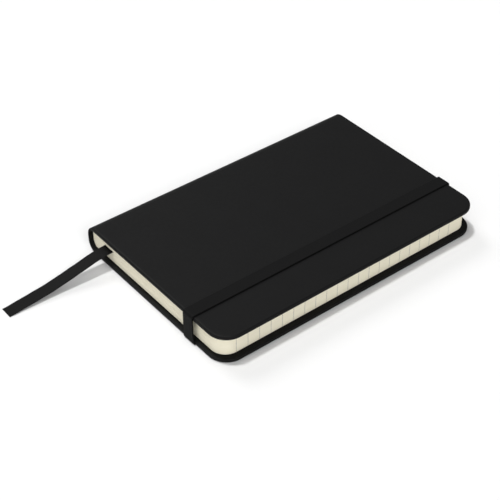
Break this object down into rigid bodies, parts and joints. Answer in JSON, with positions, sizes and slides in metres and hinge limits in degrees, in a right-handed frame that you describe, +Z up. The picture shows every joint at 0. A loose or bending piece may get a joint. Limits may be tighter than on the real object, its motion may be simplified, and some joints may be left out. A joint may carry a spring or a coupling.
{
  "type": "pocket notebook",
  "caption": "Hard-cover pocket notebook with a sewn block of ruled pages, rounded fore-edge corners, a ribbon bookmark and an elastic band that holds it shut.",
  "frame": {"origin": "centre of the closed book on the plane of the back cover's outer face", "axes": "+Z up through the closed book, out of the front cover; +Y from the foot to the head; +X from the spine to the fore-edge"},
  "size_m": [0.094, 0.1897, 0.0148],
  "materials": {
    "cover_material": "matte",
    "board": "matte",
    "endpaper": "matte",
    "page_paper": "matte",
    "lining_cloth": "matte",
    "thread": "matte",
    "ribbon": "satin",
    "elastic": "matte"
  },
  "bodies": {
    "text_block": {"back_flyleaf": "endpaper", "signature_02": "page_paper", "signature_03": "page_paper", "signature_04": "page_paper", "signature_05": "page_paper", "signature_06": "page_paper", "signature_07": "page_paper", "signature_08": "page_paper", "signature_09": "page_paper", "signature_10": "page_paper", "signature_11": "page_paper", "signature_12": "page_paper", "sewing_thread": "thread", "spine_lining": "lining_cloth", "spine_board": "board", "spine_skin": "cover_material", "ribbon_inside": "ribbon", "ribbon_tail": "ribbon"},
    "front_cover": {"front_skin": "cover_material", "front_board": "board", "front_pastedown": "endpaper"},
    "front_flyleaf": {"front_flyleaf": "endpaper"},
    "first_signature": {"signature_01": "page_paper"},
    "back_cover": {"back_skin": "cover_material", "back_board": "board", "back_pastedown": "endpaper", "elastic_tail_foot": "elastic", "elastic_tail_head": "elastic"},
    "closure": {"elastic_band": "elastic"}
  },
  "joints": [
    {"name": "front_cover_hinge", "type": "hinge", "parent": "text_block", "child": "front_cover", "pos_m": [-0.04705, 0, 0.0119], "axis": [0, -1, 0], "range_deg": [0, 178]},
    {"name": "front_flyleaf_turn", "type": "hinge", "parent": "text_block", "child": "front_flyleaf", "pos_m": [-0.0448, 0, 0.01185], "axis": [0, -1, 0], "range_deg": [0, 169.1]},
    {"name": "first_signature_turn", "type": "hinge", "parent": "text_block", "child": "first_signature", "pos_m": [-0.0448, 0, 0.01195], "axis": [0, -1, 0], "range_deg": [0, 160.2]},
    {"name": "back_cover_hinge", "type": "hinge", "parent": "text_block", "child": "back_cover", "pos_m": [-0.04705, 0, 0.0021], "axis": [0, 1, 0], "range_deg": [0, 178]},
    {"name": "elastic_slip", "type": "slide", "parent": "back_cover", "child": "closure", "axis": [1, 0, 0], "range_m": [0, 0.025], "deforming": ["elastic_band"]}
  ],
  "couplings": [
    {"joint": "front_flyleaf_turn", "follows": "front_cover_hinge", "ratio": 0.95},
    {"joint": "first_signature_turn", "follows": "front_cover_hinge", "ratio": 0.9}
  ]
}
